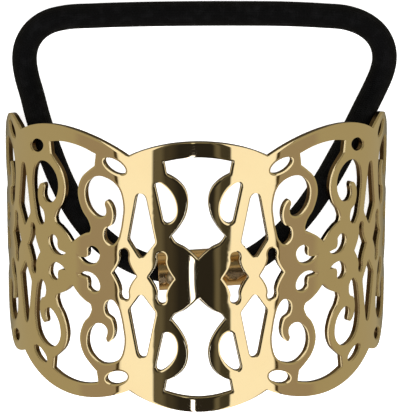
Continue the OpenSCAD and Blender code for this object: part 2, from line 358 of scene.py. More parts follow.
@dataclass(frozen=True)
class PolishedGold(Finish):
    """Pale gold plating, polished, with faint ripples and fine rubbing marks."""

    name: str = "polished_gold"
    color: Triple = (0.955, 0.775, 0.435)
    deep: Triple = (0.90, 0.66, 0.33)
    roughness: float = 0.02
    ripple: float = 0.08
    ripple_height: float = 0.0002
    ripple_scale: float = 210.0
    cloud_scale: float = 90.0
    rub_scale: float = 2600.0

    def surface(self, shader: Shader) -> Node:
        """Adds the gold's own nodes.

        Args:
            shader: The material's shader.

        Returns:
            The last node.
        """
        place = shader.node("ShaderNodeTexCoord").outputs["Object"]
        cloud = shader.noise(place, self.cloud_scale, 3.0)
        rub = shader.noise(place, self.rub_scale, 2.0, stretch=0.12)
        swell = shader.noise(place, self.ripple_scale, 1.0, stretch=0.45)
        bump = shader.node(
            "ShaderNodeBump", Strength=self.ripple, Distance=self.ripple_height, Height=swell
        )
        return shader.node(
            "ShaderNodeBsdfPrincipled", Metallic=1.0, Normal=bump.outputs[0],
            Base_Color=shader.blend(((cloud - 0.42) * 2.2).clamped() * 0.35, self.color, self.deep),
            Roughness=rub * 0.02 + self.roughness + cloud * 0.01,
        )


@dataclass(frozen=True)
class KnittedElastic(Finish):
    """Black knitted cover of a hair elastic: fine ribs along it and rows of stitches.

    It reads a UV map in turns round the cord and millimetres along it.
    """

    name: str = "black_elastic"
    color: Triple = (0.0018, 0.0018, 0.002)
    worn: Triple = (0.0055, 0.0055, 0.006)
    roughness: float = 0.72
    shine: float = 0.13
    ribs: int = 30
    stitch: float = 0.42
    relief: float = 0.00012
    fuzz_scale: float = 2400.0
    speck_scale: float = 700.0

    def surface(self, shader: Shader) -> Node:
        """Adds the cover's own nodes.

        Args:
            shader: The material's shader.

        Returns:
            The last node.
        """
        place = shader.node("ShaderNodeTexCoord")
        turn, along, _ = shader.axes(place.outputs["UV"])
        rib = (turn * (math.tau * self.ribs)).cosine()
        lean = (turn * (math.pi * self.ribs)).cosine() * 1.2
        knot = (along * (math.tau / self.stitch) + lean).sine()
        height = rib * 0.5 + knot * 0.35
        fuzz = shader.noise(place.outputs["Object"], self.fuzz_scale, 3.0)
        speck = shader.noise(place.outputs["Object"], self.speck_scale, 4.0)
        bump = shader.node(
            "ShaderNodeBump", Strength=0.5, Distance=self.relief, Height=height + fuzz * 0.8
        )
        share = ((speck - 0.5) * 3.0 + height * 0.2).clamped()
        return shader.node(
            "ShaderNodeBsdfPrincipled", Base_Color=shader.blend(share, self.color, self.worn),
            Roughness=self.roughness, Specular_IOR_Level=self.shine, Normal=bump.outputs[0],
        )


@dataclass(frozen=True)
class PaleFloor(Finish):
    """Plain white studio floor, lit a little from below."""

    name: str = "pale_floor"
    color: Triple = (0.93, 0.93, 0.93)
    light: Triple = (1.0, 1.0, 1.0)
    glow: float = 0.7

    def surface(self, shader: Shader) -> Node:
        """Adds the floor's own node and returns it."""
        return shader.node(
            "ShaderNodeBsdfPrincipled", Base_Color=self.color, Roughness=0.9,
            Emission_Color=self.light, Emission_Strength=self.glow,
        )


class Outline:
    """Closed outline in real distances along the plate and real heights, in millimetres."""

    def __init__(self, rows: list[Row]) -> None:
        """Keeps the rows as an array of along, up and sharp."""
        self.rows = np.array(rows, dtype=float)

    @staticmethod
    def mirrored(rows: list[Row], line: Mirror) -> list[Row]:
        """Adds the mirror image of an open half outline to it.

        Args:
            rows: The half outline.
            line: ACROSS to mirror it left to right, UP to mirror it top to bottom.

        Returns:
            The whole outline; points on the mirror line aren't repeated.
        """
        across, up = (-1, 1) if line is Mirror.ACROSS else (1, -1)
        other = [(a * across, b * up, c) for a, b, c in reversed(rows)]
        return rows + [row for row in other if row[line.value] != 0]

    def scaled(self, sizes: CuffSizes, shift: float = 0.0) -> Array:
        """The rows in millimetres, moved along by a share of the pitch; the third column stays."""
        return (self.rows + (shift, 0, 0)) * (sizes.pitch, sizes.half_height, 1)

    def smooth(self, sizes: CuffSizes, shift: float = 0.0) -> Array:
        """Smooth curve through the rows, with straight tangents at sharp corners.

        Args:
            sizes: The cuff's sizes.
            shift: Share of the pitch that the outline is moved along by.

        Returns:
            Many points in order, in millimetres.
        """
        rows = self.scaled(sizes, shift)
        made = []
        for i, a in enumerate(rows):
            b, after = rows[(i + 1) % len(rows)], rows[(i + 2) % len(rows)]
            run = b[:2] - a[:2]
            length = np.linalg.norm(run)
            start = run if a[2] else tangent(rows[i - 1][:2], a[:2], b[:2])
            end = run if b[2] else tangent(a[:2], b[:2], after[:2])
            start, end = (way / np.linalg.norm(way) * length for way in (start, end))
            for t in np.linspace(0, 1, max(2, int(round(length / CUT))), endpoint=False):
                made.append(curved(t, a[:2], b[:2], start, end))
        return np.array(made)

    def straight(self, sizes: CuffSizes, soft: int = 7) -> Array:
        """Straight-sided outline with slightly rounded corners.

        Args:
            sizes: The cuff's sizes.
            soft: How many times the corners are softened.

        Returns:
            Points in order, in millimetres.
        """
        made = even_loop(self.scaled(sizes)[:, :2], CUT, corner=1.0)
        for _ in range(soft):
            made = made * 0.5 + (np.roll(made, 1, axis=0) + np.roll(made, -1, axis=0)) * 0.25
        return made


def tangent(before: Array, here: Array, after: Array) -> Array:
    """Direction of a circle through three points at the middle one.

    Args:
        before: First point.
        here: Middle point.
        after: Last point.

    Returns:
        The direction, of any length.
    """
    back, ahead = here - before, after - here
    near, far = np.linalg.norm(back), np.linalg.norm(ahead)
    return back / near * far + ahead / far * near


def curved(t: float, a: Array, b: Array, start: Array, end: Array) -> Array:
    """Point at share t of a smooth curve from a to b that leaves by start and comes in by end."""
    return (
        (2 * t**3 - 3 * t**2 + 1) * a + (t**3 - 2 * t**2 + t) * start
        + (3 * t**2 - 2 * t**3) * b + (t**3 - t**2) * end
    )


def rotated(x: Array, y: Array, turn: float | Array) -> tuple[Array, ...]:
    """Turns coordinates from the first axis towards the second by an angle in radians."""
    return x * np.cos(turn) - y * np.sin(turn), x * np.sin(turn) + y * np.cos(turn)


def unit_circle(count: int) -> Array:
    """Points of a circle of radius 1, in order from the first axis towards the second."""
    return np.column_stack(rotated(1.0, 0.0, np.linspace(0, 2 * np.pi, count, endpoint=False)))


def extended(rows: Array, last: float | Array) -> Array:
    """Adds one more number to every row."""
    return np.column_stack([rows, np.broadcast_to(last, len(rows))])


def lengths(line: Array) -> Array:
    """How far along a line each of its points is."""
    return np.concatenate([[0], np.cumsum(np.linalg.norm(np.diff(line, axis=0), axis=1))])


def spaced(line: Array, count: int, last: bool) -> Array:
    """Points spaced evenly along a line.

    Args:
        line: The line's own points.
        count: How many points are wanted.
        last: Whether the line's end is one of them.

    Returns:
        The points.
    """
    far = lengths(line)
    spots = np.linspace(0, far[-1], count, endpoint=last)
    return np.stack([np.interp(spots, far, column) for column in line.T], axis=1)


def even_loop(points: Array, step: float, corner: float = 35.0) -> Array:
    """Spaces an outline's points evenly between its sharp corners.

    Args:
        points: The outline.
        step: The wanted spacing.
        corner: Turn in degrees that counts as a corner.

    Returns:
        The outline with even spacing.
    """
    ahead = np.roll(points, -1, axis=0) - points
    heading = np.degrees(np.arctan2(ahead[:, 1], ahead[:, 0]))
    turn = np.abs((heading - np.roll(heading, 1) + 180) % 360 - 180)
    corners = [int(i) for i in np.nonzero(turn > corner)[0]] or [0]
    made = []
    for first, last in zip(corners, corners[1:] + corners[:1]):
        span = last - first if last > first else last - first + len(points)
        line = points[[(first + k) % len(points) for k in range(span + 1)]]
        cuts = max(2, int(round(lengths(line)[-1] / step)))
        made.append(spaced(line, cuts, last=False))
    return np.concatenate(made)


def area(points: Array) -> float:
    """Signed area of an outline, positive where it runs anticlockwise."""
    after = np.roll(points, -1, axis=0)
    return float(np.sum(points[:, 0] * after[:, 1] - points[:, 1] * after[:, 0]) / 2)


def inside(points: Array, loops: list[Array]) -> Array:
    """Which points lie in the metal, by counting crossings of every outline.

    Args:
        points: Points to test.
        loops: All outlines, holes included.

    Returns:
        True for each point in the metal.
    """
    hits = np.zeros(len(points), dtype=int)
    for loop in loops:
        low, high = loop.min(axis=0), loop.max(axis=0)
        level = (points[:, 1] >= low[1]) & (points[:, 1] <= high[1])
        near = np.nonzero(level & (points[:, 0] <= high[0]))[0]
        x, y = points[near, 0][:, None], points[near, 1][:, None]
        a, b = loop, np.roll(loop, -1, axis=0)
        over = (a[:, 1][None] > y) != (b[:, 1][None] > y)
        rise = b[:, 1] - a[:, 1]
        rise = np.where(rise == 0, TINY, rise)
        cross = a[:, 0] + (y - a[:, 1]) * ((b[:, 0] - a[:, 0]) / rise)
        hits[near] += (over & (x < cross)).sum(axis=1)
    return hits % 2 == 1


def metal_side(loop: Array) -> tuple[Array, Array]:
    """Unit direction into the metal at each point of an outline, and how far a corner reaches.

    Args:
        loop: An outline with the metal on its left.

    Returns:
        Directions, and the factor that keeps a corner's inset square.
    """
    ahead = np.roll(loop, -1, axis=0) - loop
    ahead /= np.linalg.norm(ahead, axis=1)[:, None]
    both = ahead + np.roll(ahead, 1, axis=0)
    length = np.maximum(np.linalg.norm(both, axis=1), TINY)
    left = np.stack([-both[:, 1], both[:, 0]], axis=1) / length[:, None]
    return left, np.minimum(2 / length, CORNER_REACH)


def inset(loop: Array, step: float) -> Array:
    """The outline moved into the metal by a step."""
    into, sharpness = metal_side(loop)
    return loop + into * (step * sharpness)[:, None]


def search_tree(points: Array) -> KDTree:
    """Sorts flat points for searching.

    Args:
        points: The points.

    Returns:
        A tree that knows each point by its number.
    """
    tree = KDTree(len(points))
    for i, (x, y) in enumerate(points):
        tree.insert((x, y, 0.0), i)
    tree.balance()
    return tree


def thinned(points: Array, gap: float) -> Array:
    """Drops each point that lies nearer than gap to one kept before it.

    Args:
        points: Points in order of importance.
        gap: The least distance between two that are kept.

    Returns:
        The points that are kept.
    """
    tree, kept = search_tree(points), np.ones(len(points), dtype=bool)
    for i in range(len(points)):
        if kept[i]:
            for _, near, _ in tree.find_range((*points[i], 0.0), gap):
                kept[near] &= near <= i
    return points[kept]


class Rims:
    """All outlines of the plate, to measure how far a spot is from the nearest."""

    def __init__(self, loops: list[Array]) -> None:
        """Sorts the outlines' points for searching.

        Args:
            loops: The outlines.
        """
        self.points = np.concatenate(loops)
        steps = [np.arange(len(loop)) for loop in loops]
        starts = np.cumsum([0] + [len(loop) for loop in loops])
        self.before = np.concatenate([s + np.roll(k, 1) for s, k in zip(starts, steps)])
        self.after = np.concatenate([s + np.roll(k, -1) for s, k in zip(starts, steps)])
        self.tree = search_tree(self.points)

    def nearest(self, spots: Array) -> tuple[Array, Array]:
        """Measures spots against the outlines.

        Args:
            spots: Points in millimetres.

        Returns:
            Their distances from the nearest outline, and unit directions away from it.
        """
        here = np.array([self.tree.find((x, y, 0.0))[1] for x, y in spots])
        foot, least = np.zeros_like(spots), np.full(len(spots), np.inf)
        for first, last in ((self.before[here], here), (here, self.after[here])):
            start, run = self.points[first], self.points[last] - self.points[first]
            share = ((spots - start) * run).sum(axis=1) / (run**2).sum(axis=1)
            at = start + run * np.clip(share, 0, 1)[:, None]
            far = np.linalg.norm(spots - at, axis=1)
            closer = far < least
            least[closer], foot[closer] = far[closer], at[closer]
        return least, (spots - foot) / np.maximum(least, TINY)[:, None]


@dataclass
class Shell:
    """Points, normals and faces of a piece while it is put together."""

    points: list[Array] = field(default_factory=list)
    normals: list[Array] = field(default_factory=list)
    faces: list[tuple[int, ...]] = field(default_factory=list)
    coats: list[int] = field(default_factory=list)
    count: int = 0

    def add(self, points: Array, normals: Array) -> None:
        """Adds points with their normals.

        Args:
            points: Places in millimetres.
            normals: One for each.
        """
        self.points.append(points)
        self.normals.append(normals)
        self.count += len(points)

    def strip(
        self, first: int, second: int, size: int, coat: Coat = Coat.FRONT, turned: bool = False
    ) -> None:
        """Joins two closed rings of points with faces.

        Args:
            first: Number of the first point of one ring.
            second: The same for the other ring.
            size: Points in a ring.
            coat: The faces' finish.
            turned: Whether the faces look the other way.
        """
        for k in range(size):
            n = (k + 1) % size
            corners = (first + k, second + k, second + n, first + n)
            self.faces.append(corners[:1] + corners[:0:-1] if turned else corners)
        self.coats += [coat.value] * size

    def mesh(self, name: str, points: Array) -> Mesh:
        """Makes a mesh with the shell's faces.

        Args:
            name: The mesh's name.
            points: Where its points are, in millimetres.

        Returns:
            The mesh.
        """
        made = bpy.data.meshes.new(name)
        made.from_pydata((points * MM).tolist(), [], self.faces)
        return made


def smooth_shading(mesh: Mesh, normals: Array) -> None:
    """Shades a mesh smooth with its own normal at every point.

    Args:
        mesh: The mesh.
        normals: A normal of any length for each point.
    """
    long = np.maximum(np.linalg.norm(normals, axis=1), TINY)
    mesh.shade_smooth()
    mesh.normals_split_custom_set_from_vertices((normals / long[:, None]).tolist())


def loose_object(name: str, data: ID) -> Object:
    """Links a new object to the scene.

    Args:
        name: The object's name.
        data: The mesh, curve, camera or light that it holds.

    Returns:
        The object.
    """
    made = bpy.data.objects.new(name, data)
    bpy.context.scene.collection.objects.link(made)
    return made


@dataclass(frozen=True)
class GeometryTree:
    """A Geometry Nodes tree that shapes a piece and then sets its finish."""

    name: str
    inputs: tuple[tuple[str, str], ...]

    def shape(self, shader: Shader, given: Node) -> Node:
        """Adds the nodes that shape the piece and returns the last."""
        raise NotImplementedError

    def build(self) -> NodeTree:
        """Builds the tree.

        Returns:
            The tree, whose inputs are the geometry, its own ones and the finish.
        """
        tree = bpy.data.node_groups.new(self.name, "GeometryNodeTree")
        shader = Shader(tree)
        ends = (("Geometry", "Geometry"), ("Finish", "Material"))
        for name, kind in (ends[0], *self.inputs, ends[1]):
            tree.interface.new_socket(name, in_out="INPUT", socket_type="NodeSocket" + kind)
        tree.interface.new_socket("Geometry", in_out="OUTPUT", socket_type="NodeSocketGeometry")
        given = shader.node("NodeGroupInput")
        shape = self.shape(shader, given)
        real = shader.node("GeometryNodeRealizeInstances", Geometry=shape.outputs[0])
        dressed = shader.node(
            "GeometryNodeSetMaterial",
            Geometry=real.outputs[0], Material=given.outputs[ends[1][0]],
        )
        shader.node("NodeGroupOutput", in0=dressed.outputs[0])
        return tree

    def applied(self, source: Object, name: str, values: dict[str, object]) -> Object:
        """Applies the tree to an object and keeps the result as a plain mesh object.

        Args:
            source: The object that the tree reads; it is removed.
            name: The new object's name.
            values: The tree's inputs by name.

        Returns:
            The new object, at the origin.
        """
        tree = self.build()
        step = source.modifiers.new(tree.name, "NODES")
        step.node_group = tree
        for item in tree.interface.items_tree:
            if item.in_out == "INPUT" and item.name in values:
                step[item.identifier] = values[item.name]
        bpy.context.view_layer.update()
        graph = bpy.context.evaluated_depsgraph_get()
        mesh = bpy.data.meshes.new_from_object(source.evaluated_get(graph))
        mesh.name = name
        bpy.data.objects.remove(source, do_unlink=True)
        return loose_object(name, mesh)


@dataclass(frozen=True)
class BendTree(GeometryTree):
    """Bends a flat sheet round the plate's axis."""

    name: str = "bend_round_axis"
    inputs: tuple[tuple[str, str], ...] = (("Radius", "Float"), ("Axis Height", "Float"))

    def shape(self, shader: Shader, given: Node) -> Node:
        """Adds the nodes that bend the sheet.

        Args:
            shader: The tree's shader.
            given: The node that gives the tree's inputs.

        Returns:
            The last node.
        """
        along, up, out = shader.axes(shader.node("GeometryNodeInputPosition").outputs[0])
        radius, axis = (shader.signal(given.outputs[name]) for name, _ in self.inputs)
        turn = along / radius
        reach = radius + out
        bent = shader.node(
            "ShaderNodeCombineXYZ",
            X=reach * turn.sine(), Y=up, Z=(axis + reach * turn.cosine()).at_least(0.0),
        )
        return shader.node(
            "GeometryNodeSetPosition", Geometry=given.outputs[0], Position=bent.outputs[0]
        )


@dataclass(frozen=True)
class CordTree(GeometryTree):
    """Sweeps a round section along a curve."""

    name: str = "round_cord"
    inputs: tuple[tuple[str, str], ...] = (("Radius", "Float"), ("Sides", "Int"))

    def shape(self, shader: Shader, given: Node) -> Node:
        """Adds the nodes that sweep the section and returns the last."""
        ring = shader.node(
            "GeometryNodeCurvePrimitiveCircle",
            Resolution=given.outputs["Sides"], Radius=given.outputs["Radius"],
        )
        return shader.node(
            "GeometryNodeCurveToMesh",
            Curve=given.outputs[0], Profile_Curve=ring.outputs[0], Fill_Caps=True,
        )


@dataclass
class PiercedPlate:
    """Curved plate with its scalloped outline, its holes and broadly polished edges."""

    sizes: CuffSizes
    finishes: dict[Coat, Material]
    # The front falls away over this width beside every rim, down to this slope at the rim.
    polish_width: float = 0.35
    polish_slope: float = 0.32
    polish_power: float = 1.4
    # The front of every wall is worn round: its depth, and how far it leans at both its sides.
    worn_depth: float = 0.35
    worn_lean: Pair = (18.0, 34.0)
    back_round: float = 0.13
    spacing: float = 0.25
    grid: float = 0.85
    # Rows of points beside every rim, as shares of the polished width, and the least gap.
    polish_rows: tuple[float, ...] = (0.12, 0.25, 0.4, 0.6, 0.95)
    least_gap: float = 0.035
    # What the grid keeps from the rims on the front, in polished widths, and past the back's
    # rounding; what a row keeps, as a share of its step; and the gap of points that are one.
    front_clear: float = 1.1
    back_clear: float = 0.2
    row_clear: float = 0.93
    same: float = 1e-4
    arc_points: int = 96
    oval_points: int = 48
    name: str = "pierced_plate"

    def scallop(self, first: Pair, last: Pair, rise: float) -> Array:
        """Arc from one corner to the next, rising above the line between them.

        Args:
            first: The left corner in millimetres.
            last: The right corner.
            rise: Height of the arc.

        Returns:
            Points from left to right, without the last corner.
        """
        reach = (last[0] - first[0]) / 2
        bend = (reach * reach + rise * rise) / (2 * rise)
        x = np.linspace(-1, 1, self.arc_points + 1)[:-1] * reach
        level = (first[1] + last[1]) / 2 + (last[1] - first[1]) / 2 * x / reach
        up = level + rise - bend + np.sqrt(bend**2 - x**2)
        return np.stack([(first[0] + last[0]) / 2 + x, up], axis=1)

    def border(self) -> Array:
        """Outline of the whole plate, laid flat.

        Returns:
            Points in order, in millimetres.
        """
        s = self.sizes
        front, end = (
            (corner[0] * s.pitch, corner[1] * s.half_height)
            for corner in (s.front_corner, s.end_corner)
        )
        top = self.scallop((-front[0], front[1]), front, s.front_rise)
        top = top[len(top) // 2:]
        side = self.scallop(front, end, s.side_rise)
        root, tip = END_EDGE[0][0], END_EDGE[-1][0]
        edge = Outline(END_EDGE + [(tip, 0.0, 1), (root, 0.0, 1)]).smooth(s)
        edge = edge[:int(np.argmin(np.hypot(edge[:, 0] - tip * s.pitch, edge[:, 1])))]
        edge[:, 0] = np.minimum(edge[:, 0], s.end_share * s.pitch)
        quarter = np.concatenate([top, side, edge])
        right = np.concatenate([quarter, quarter[::-1] * (1, -1)])
        whole = np.concatenate([right, right[::-1] * (-1, 1)])
        gap = np.linalg.norm(whole - np.roll(whole, 1, axis=0), axis=1)
        return whole[gap > self.same]

    def oval(self) -> Array:
        """Slanted oval hole beside a corner of the scallops.

        Returns:
            Points in order, in millimetres.
        """
        s = self.sizes
        x, y = (unit_circle(self.oval_points) * (s.oval_length / 2, s.oval_width / 2)).T
        spots = np.column_stack(rotated(x, y, math.radians(s.oval_slant)))
        return spots + np.multiply(s.oval_middle, (s.pitch, s.half_height))

    def holes(self) -> list[Array]:
        """Every hole of the plate, laid flat.

        Returns:
            Outlines in millimetres.
        """
        s = self.sizes
        beyond = np.array([2 * s.pitch, 0])
        flip = np.array([-1, 1])
        kite = Outline(KITE).straight(s)
        quarter = [Outline(RING_WINDOW).smooth(s), kite, beyond + flip * kite]
        quarter.append(Outline(Outline.mirrored(FLOWER_GAP, Mirror.ACROSS)).smooth(s, 1.0))
        for near, shift in (
            (Outline(SCROLL).smooth(s), s.pattern_shift), (Outline(PETAL).smooth(s), s.petal_shift),
            (self.oval(), s.pattern_shift),
        ):
            quarter += [near, beyond + flip * near, near + (shift * s.pitch, 0)]
        made = [loop * (a, b) for loop in quarter for a in (1, -1) for b in (1, -1)]
        front = Outline(Outline.mirrored(FRONT_GAP, Mirror.ACROSS)).smooth(s)
        made += [front, front * (1, -1)]
        half_slot = Outline.mirrored(SLOT_QUARTER, Mirror.UP)
        slot = Outline(Outline.mirrored(half_slot, Mirror.ACROSS))
        corner = s.corner_slot
        for share in (s.front_slot, corner, 2 - corner, corner + s.pattern_shift):
            at = slot.smooth(s, share)
            made += [at, at * (-1, 1)]
        return made

    def loops(self) -> list[Array]:
        """Every outline, evenly spaced, with the metal on its left.

        Returns:
            The border, then the holes.
        """
        made = []
        for n, outline in enumerate([self.border()] + self.holes()):
            loop = even_loop(outline, self.spacing)
            made.append(loop if (area(loop) > 0) == (n == 0) else loop[::-1])
        return made

    def fall(self, distance: Array) -> tuple[Array, Array]:
        """How far the polished front has fallen at a distance from a rim.

        Args:
            distance: Distances in millimetres.

        Returns:
            Depths in millimetres, and slopes.
        """
        left = np.clip(1 - distance / self.polish_width, 0, 1)
        slope = self.polish_slope * left**self.polish_power
        return slope * left * self.polish_width / (self.polish_power + 1), slope

    def rings(self) -> list[tuple[float, float, float, float, Coat]]:
        """Rings of points down every wall.

        Returns:
            For each ring its step into the metal, its depth, its normal's parts outward from the
            metal and up, and the finish beyond it.
        """
        e, t, half = self.back_round, self.sizes.thickness, math.sqrt(0.5)
        lean, last = (math.radians(turn) for turn in self.worn_lean)
        rim = float(self.fall(np.zeros(1))[0][0])
        worn = rim + self.worn_depth
        return [
            (0.0, rim, math.sin(lean), math.cos(lean), Coat.WORN_RIM),
            (0.0, worn, math.sin(last), math.cos(last), Coat.WALL),
            (0.0, worn + e / 4, 1.0, 0.0, Coat.WALL),
            (0.0, t - e, 1.0, 0.0, Coat.WALL),
            (e * (1 - half), t - e * (1 - half), half, -half, Coat.WALL),
            (e, t, 0.0, -1.0, Coat.BACK),
        ]

    def wall(self, shell: Shell, loop: Array) -> int:
        """Adds the wall below one outline.

        Args:
            shell: The plate so far.
            loop: The outline.

        Returns:
            Number of the wall's first point.
        """
        rings, size, first = self.rings(), len(loop), shell.count
        away = -metal_side(loop)[0]
        for step, depth, sideways, outward, _ in rings:
            shell.add(extended(inset(loop, step), -depth), extended(away * sideways, outward))
        for n, ring in enumerate(rings[:-1]):
            shell.strip(first + n * size, first + (n + 1) * size, size, ring[-1])
        return first

    def face(self, shell: Shell, side: Coat, loops: list[Array], starts: list[int]) -> None:
        """Adds the front or the back of the plate.

        Args:
            shell: The plate so far.
            side: FRONT or BACK.
            loops: All outlines.
            starts: Number of the first point of each outline's wall.
        """
        front = side is Coat.FRONT
        rims = Rims(loops)
        extra = self.inner_spots(loops, rims, front)
        ring = 0 if front else len(self.rings()) - 1
        edge = loops if front else [inset(loop, self.back_round) for loop in loops]
        number = [s + ring * len(loop) + np.arange(len(loop)) for s, loop in zip(starts, loops)]
        number = np.concatenate(number + [shell.count + np.arange(len(extra))])
        if front:
            far, away = rims.nearest(extra)
            depth, slope = self.fall(far)
            shell.add(extended(extra, -depth), extended(-away * slope[:, None], 1.0))
        else:
            shell.add(extended(extra, -self.sizes.thickness), extended(extra * 0, -1.0))
        triangles = number[self.fill(edge, extra)]
        shell.faces += (triangles if front else triangles[:, ::-1]).tolist()
        shell.coats += [side.value] * len(triangles)

    def inner_spots(self, loops: list[Array], rims: Rims, front: bool) -> Array:
        """Points inside one face: a loose grid, and on the polished front rows beside the rims.

        Args:
            loops: All outlines, the plate's border first.
            rims: The same outlines, for distances.
            front: Whether the face is the front.

        Returns:
            Points in millimetres.
        """
        (left, low), (right, high) = loops[0].min(axis=0), loops[0].max(axis=0)
        across = np.arange(left, right, self.grid)
        grid = np.array([
            (x + (j % 2) * self.grid / 2, y)
            for j, y in enumerate(np.arange(low, high, self.grid)) for x in across
        ])
        grid = grid[inside(grid, loops)]
        back = self.back_round + self.back_clear
        clear = self.polish_width * self.front_clear if front else back
        grid = grid[rims.nearest(grid)[0] > clear]
        if not front:
            return grid
        rows = []
        for share in self.polish_rows:
            step = share * self.polish_width
            row = np.concatenate([inset(loop, step) for loop in loops])
            rows.append(row[rims.nearest(row)[0] > self.row_clear * step])
        return thinned(np.concatenate(rows + [grid]), self.least_gap)

    def fill(self, edge: list[Array], extra: Array) -> Array:
        """Fills the face between the outlines with triangles.

        Args:
            edge: The outlines of the face.
            extra: Points inside it.

        Returns:
            Triangles, anticlockwise, as numbers into the outlines' points and then the extra ones.
        """
        lines, start = [], 0
        for loop in edge:
            lines += [(start + k, start + (k + 1) % len(loop)) for k in range(len(loop))]
            start += len(loop)
        every = np.concatenate(edge + [extra])
        made = delaunay_2d_cdt([Vector(p) for p in every], lines, [], 0, SAME_SPOT)
        if len(made[0]) != len(every):
            LOG.warning("the fill has %d points for %d", len(made[0]), len(every))
        source = np.array([owner[0] for owner in made[3]])
        triangles = source[np.array(made[2])]
        kept = triangles[inside(every[triangles].mean(axis=1), edge)]
        a, b, c = (every[kept[:, k]] for k in range(3))
        (x, y), (p, q) = (b - a).T, (c - a).T
        return np.where((x * q - y * p > 0)[:, None], kept, kept[:, ::-1])

    def build(self) -> Object:
        """Builds the plate flat and bends it round its axis.

        Returns:
            The plate as a plain mesh object.
        """
        shell, loops = Shell(), self.loops()
        starts = [self.wall(shell, loop) for loop in loops]
        for side in (Coat.FRONT, Coat.BACK):
            self.face(shell, side, loops, starts)
        points = np.concatenate(shell.points)
        flat = loose_object(self.name + "_flat", shell.mesh(self.name + "_flat", points))
        values = {
            "Radius": self.sizes.radius * MM, "Axis Height": self.sizes.axis_height * MM,
            "Finish": self.finishes[Coat.FRONT],
        }
        made = BendTree().applied(flat, self.name, values)
        across, up, out = np.concatenate(shell.normals).T
        out, across = rotated(out, across, points[:, 0] / self.sizes.radius)
        smooth_shading(made.data, np.column_stack([across, up, out]))
        for coat in (Coat.WORN_RIM, Coat.WALL, Coat.BACK):
            made.data.materials.append(self.finishes[coat])
        made.data.polygons.foreach_set("material_index", np.array(shell.coats, dtype=np.int32))
        return made


@dataclass(frozen=True)
class TubePlace:
    """Where the straight tube stands behind the plate."""

    sizes: CuffSizes
    length: float = 14.0
    radius: float = 3.05
    gap: float = 0.05
    offset: float = 0.8
    slant: float = 3.3

    @property
    def inner(self) -> float:
        """Radius of the inside of the plate."""
        return self.sizes.radius - self.sizes.thickness

    @property
    def reach(self) -> float:
        """Distance of the tube's middle line from the plate's axis; its ends clear the plate."""
        return math.sqrt(self.inner**2 - self.length**2 / 4) - self.radius - self.gap

    def turned(self, rows: Array) -> Array:
        """Turns directions from the tube's own frame, with the tube along X, to the part's.

        Args:
            rows: Directions, or places measured from the plate's axis.

        Returns:
            The turned rows.
        """
        along, up, out = rows.T
        x, y = rotated(along, up, math.radians(self.slant))
        z, x = rotated(out, x, self.offset / self.sizes.radius)
        return np.column_stack([x, y, z])

    def placed(self, rows: Array) -> Array:
        """Places points of the tube's own frame, measured from the plate's axis, in the part."""
        return self.turned(rows) + (0.0, 0.0, self.sizes.axis_height)

    def middle(self, along: float) -> Triple:
        """Point on the tube's middle line at a distance along it from its own middle."""
        return tuple(self.placed(np.array([(along, 0.0, self.reach)]))[0].tolist())

    def object(self, name: str, shell: Shell, finish: Material) -> Object:
        """Makes a smooth object from a shell of the tube's own frame.

        Args:
            name: The object's name.
            shell: Its points in millimetres, measured from the plate's axis, and its faces.
            finish: The material.

        Returns:
            The object.
        """
        mesh = shell.mesh(name, self.placed(np.concatenate(shell.points)))
        mesh.materials.append(finish)
        smooth_shading(mesh, self.turned(np.concatenate(shell.normals)))
        return loose_object(name, mesh)


@dataclass
class Bracket:
    """Straight round tube with flared mouths, which grips the elastic."""

    place: TubePlace
    finish: Material
    bore: float = 2.01
    mouth_depth: float = 2.6
    mouth_wall: float = 0.35
    mouth_power: float = 1.25
    lip: float = 0.15
    around: int = 96
    bore_start: float = 0.8
    # Steps round the lip, outside and inside, as shares of its turn.
    outer_steps: tuple[float, ...] = (0.25, 0.5, 0.75, 1.0)
    inner_steps: tuple[float, ...] = (0.0, 0.3, 0.6, 0.85, 1.0)
    name: str = "bracket_tube"

    def profile(self) -> list[tuple[float, float, float, float]]:
        """Section of the tube's wall, from the middle out over the right rim and back inside.

        Returns:
            Distance along, radius, and the normal's parts along and outward.
        """
        half, lip, outer = self.place.length / 2, self.lip, self.place.radius
        rim = outer - self.mouth_wall
        flare = math.atan2(rim - self.bore, self.mouth_depth)
        rows = [(float(a), outer, 0.0, 1.0) for a in np.linspace(0, half - lip, 12)]
        turns = [part * math.pi / 2 for part in self.outer_steps]
        back = [math.pi / 2 + part * (math.pi / 2 - flare) for part in self.inner_steps]
        for middle, arc in ((outer - lip, turns), (rim + lip, back)):
            for a in arc:
                s, c = math.sin(a), math.cos(a)
                rows.append((half - lip + lip * s, middle + lip * c, s, c))
        for share in np.linspace(0.12, 1.0, 8):
            radius = self.bore + (rim - self.bore) * (1 - share) ** self.mouth_power
            lean = flare * (1 - share)
            rows.append((half - share * self.mouth_depth, radius, math.sin(lean), -math.cos(lean)))
        inner = half - self.mouth_depth - self.bore_start
        return rows + [(float(a), self.bore, 0.0, -1.0) for a in np.linspace(inner, 0, 6)]

    def build(self) -> Object:
        """Builds the tube.

        Returns:
            The tube as a plain mesh object.
        """
        right = self.profile()
        rows = right + [(-a, r, -n, o) for a, r, n, o in reversed(right)][1:-1]
        ring = extended(unit_circle(self.around)[:, ::-1], 0.0)[:, (2, 0, 1)]
        shell = Shell()
        for along, radius, axial, outward in rows:
            at = ring * radius + (along, 0.0, self.place.reach)
            shell.add(at, ring * outward + (axial, 0.0, 0.0))
        for i in range(len(rows)):
            shell.strip(i * self.around, (i + 1) % len(rows) * self.around, self.around)
        return self.place.object(self.name, shell, self.finish)


